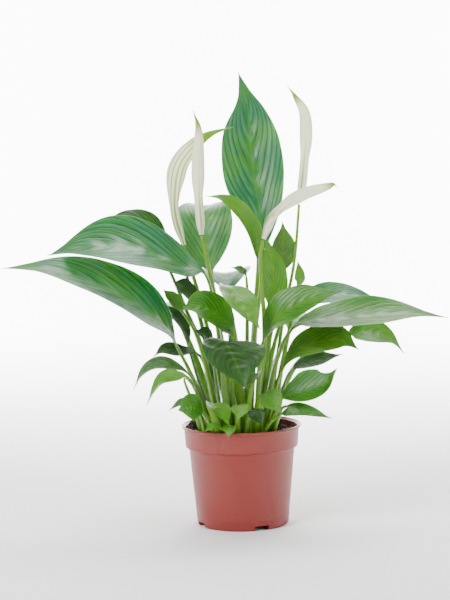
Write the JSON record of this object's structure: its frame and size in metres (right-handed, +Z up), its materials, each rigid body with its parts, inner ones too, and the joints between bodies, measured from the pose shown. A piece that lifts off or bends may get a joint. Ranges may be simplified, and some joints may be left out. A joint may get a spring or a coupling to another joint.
{
  "type": "potted peace lily",
  "caption": "Small flowering peace lily with arching green leaves and white spathes in a round brick-red plastic grower pot.",
  "frame": {"origin": "centre of the pot's flat underside", "axes": "+Z up, out of the pot; -Y towards the plant's front; +X to the right seen from the front"},
  "size_m": [0.436, 0.2265, 0.4541],
  "materials": {
    "pot_plastic": "satin brick-red plastic",
    "potting_mix": "damp dark peat, crumbly",
    "leaf_mature": "glossy blue-green leaf",
    "leaf_green": "glossy mid-green leaf",
    "leaf_young": "bright yellow-green young leaf",
    "leaf_shaded": "dark green leaf",
    "leaf_olive": "olive green leaf",
    "leaf_pale": "pale green leaf",
    "leaf_silver": "silvery green leaf",
    "flower_stalk": "smooth yellow-green stalk",
    "spathe": "waxy cream white with green tip",
    "spadix": "knobbly cream yellow"
  },
  "bodies": {
    "root": {"pot": "pot_plastic", "potting_mix": "potting_mix", "leaf_tall_centre": "leaf_mature", "leaf_young_narrow": "leaf_young", "leaf_upper_left": "leaf_mature", "leaf_upper_left_back": "leaf_shaded", "leaf_lower_left": "leaf_mature", "leaf_drooping_left": "leaf_shaded", "leaf_dark_left": "leaf_shaded", "leaf_striped_left": "leaf_silver", "leaf_bright_left": "leaf_young", "leaf_silver_curl": "leaf_silver", "leaf_small_silver_left": "leaf_silver", "leaf_round_left": "leaf_green", "leaf_front_left": "leaf_green", "leaf_front_arching": "leaf_young", "leaf_small_silver_centre": "leaf_silver", "leaf_front_centre": "leaf_shaded", "leaf_front_centre_lower": "leaf_young", "leaf_front_right": "leaf_green", "leaf_long_right": "leaf_green", "leaf_upper_right_back": "leaf_mature", "leaf_round_right": "leaf_young", "leaf_olive_right": "leaf_olive", "leaf_dark_right": "leaf_shaded", "leaf_folded_right": "leaf_green", "leaf_lower_right": "leaf_green", "leaf_small_pale_right": "leaf_silver", "leaf_bright_right": "leaf_young", "leaf_bright_front": "leaf_young", "leaf_small_front": "leaf_young", "leaf_dark_front": "leaf_shaded", "leaf_low_left": "leaf_young", "leaf_over_lip": "leaf_young", "leaf_broad_back": "leaf_pale", "leaf_back_tip": "leaf_shaded", "leaf_upright_right": "leaf_young", "leaf_back_right": "leaf_olive", "leaf_light_right": "leaf_young", "leaf_under_left": "leaf_green", "leaf_dark_back_left": "leaf_shaded", "leaf_dark_inner_left": "leaf_shaded", "leaf_dark_inner": "leaf_shaded", "leaf_back_low_left": "leaf_mature", "leaf_back_middle": "leaf_mature", "leaf_back_low_right": "leaf_mature", "flower_left_stalk": "flower_stalk", "flower_left_spathe": "spathe", "flower_left_spadix": "spadix", "flower_centre_stalk": "flower_stalk", "flower_centre_spathe": "spathe", "flower_centre_spadix": "spadix", "flower_arching_stalk": "flower_stalk", "flower_arching_spathe": "spathe", "flower_arching_spadix": "spadix", "flower_right_stalk": "flower_stalk", "flower_right_spathe": "spathe", "flower_right_spadix": "spadix"}
  },
  "joints": []
}
